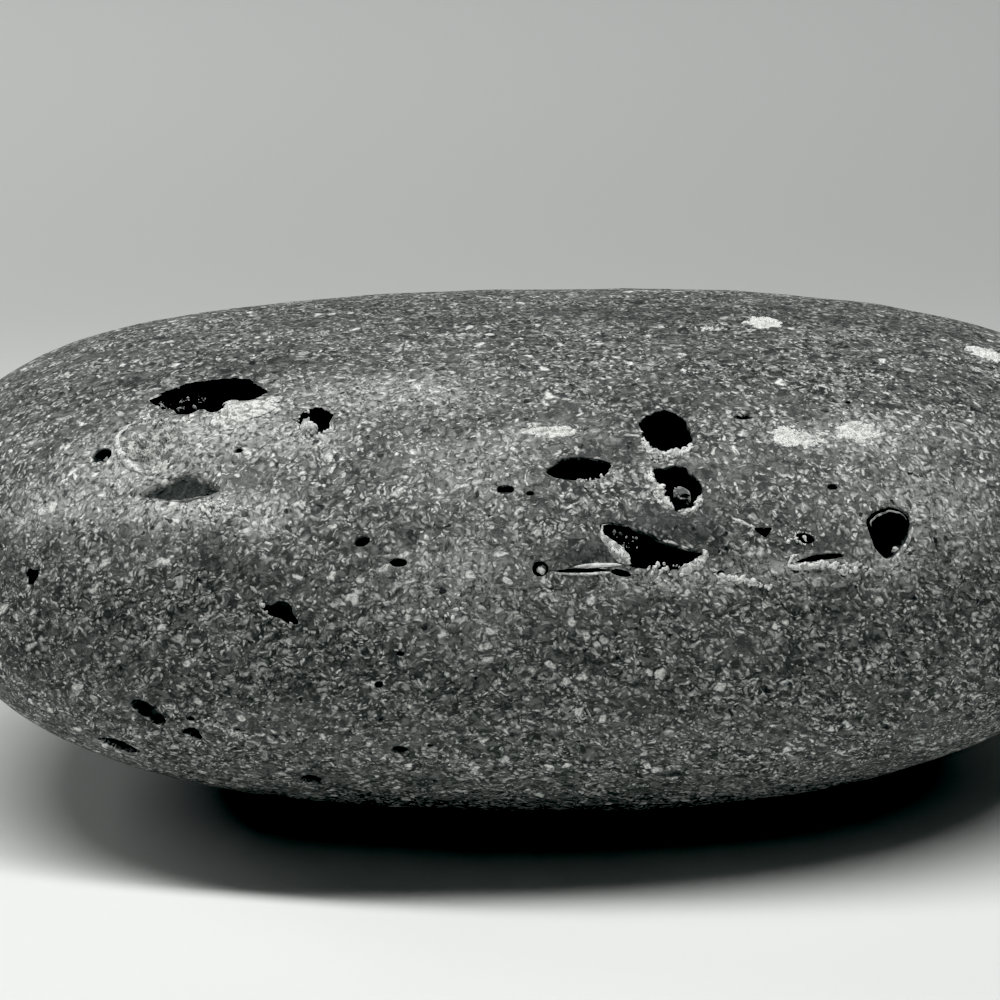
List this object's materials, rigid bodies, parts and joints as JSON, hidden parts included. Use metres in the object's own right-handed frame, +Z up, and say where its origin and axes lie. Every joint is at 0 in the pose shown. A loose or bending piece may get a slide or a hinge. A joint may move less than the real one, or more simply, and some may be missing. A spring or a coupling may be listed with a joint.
{
  "type": "massage stone",
  "caption": "Flat oval pebble of vesicular basalt with open gas-bubble hollows and pale mineral fillings, warmed or cooled and laid on or drawn over the body.",
  "frame": {"origin": "middle of the worn flat that the stone rests on", "axes": "+X along the stone's length, -Y to its pitted front, +Z up through its crown"},
  "size_m": [0.084, 0.0604, 0.0309],
  "materials": {
    "basalt": "matte",
    "white_crust": "matte",
    "clear_crystal": "satin",
    "grey_nodule": "matte",
    "chalky_filling": "matte"
  },
  "bodies": {
    "root": {"basalt_body": "basalt", "crust_basin": "white_crust", "crust_tongue": "white_crust", "rim_crust": "white_crust", "pale_wedge": "white_crust", "ledge_deposit": "white_crust", "slit_lip": "white_crust", "nugget": "clear_crystal", "crumb_row": "clear_crystal", "blade_crystal": "clear_crystal", "slot_nodule": "clear_crystal", "oval_crystal": "clear_crystal", "thin_blade": "clear_crystal", "lens_nodule": "grey_nodule", "twin_nodule": "grey_nodule", "streak_filling": "chalky_filling", "patch_filling": "chalky_filling", "chain_filling": "chalky_filling", "crown_filling": "chalky_filling", "end_filling": "chalky_filling"}
  },
  "joints": []
}
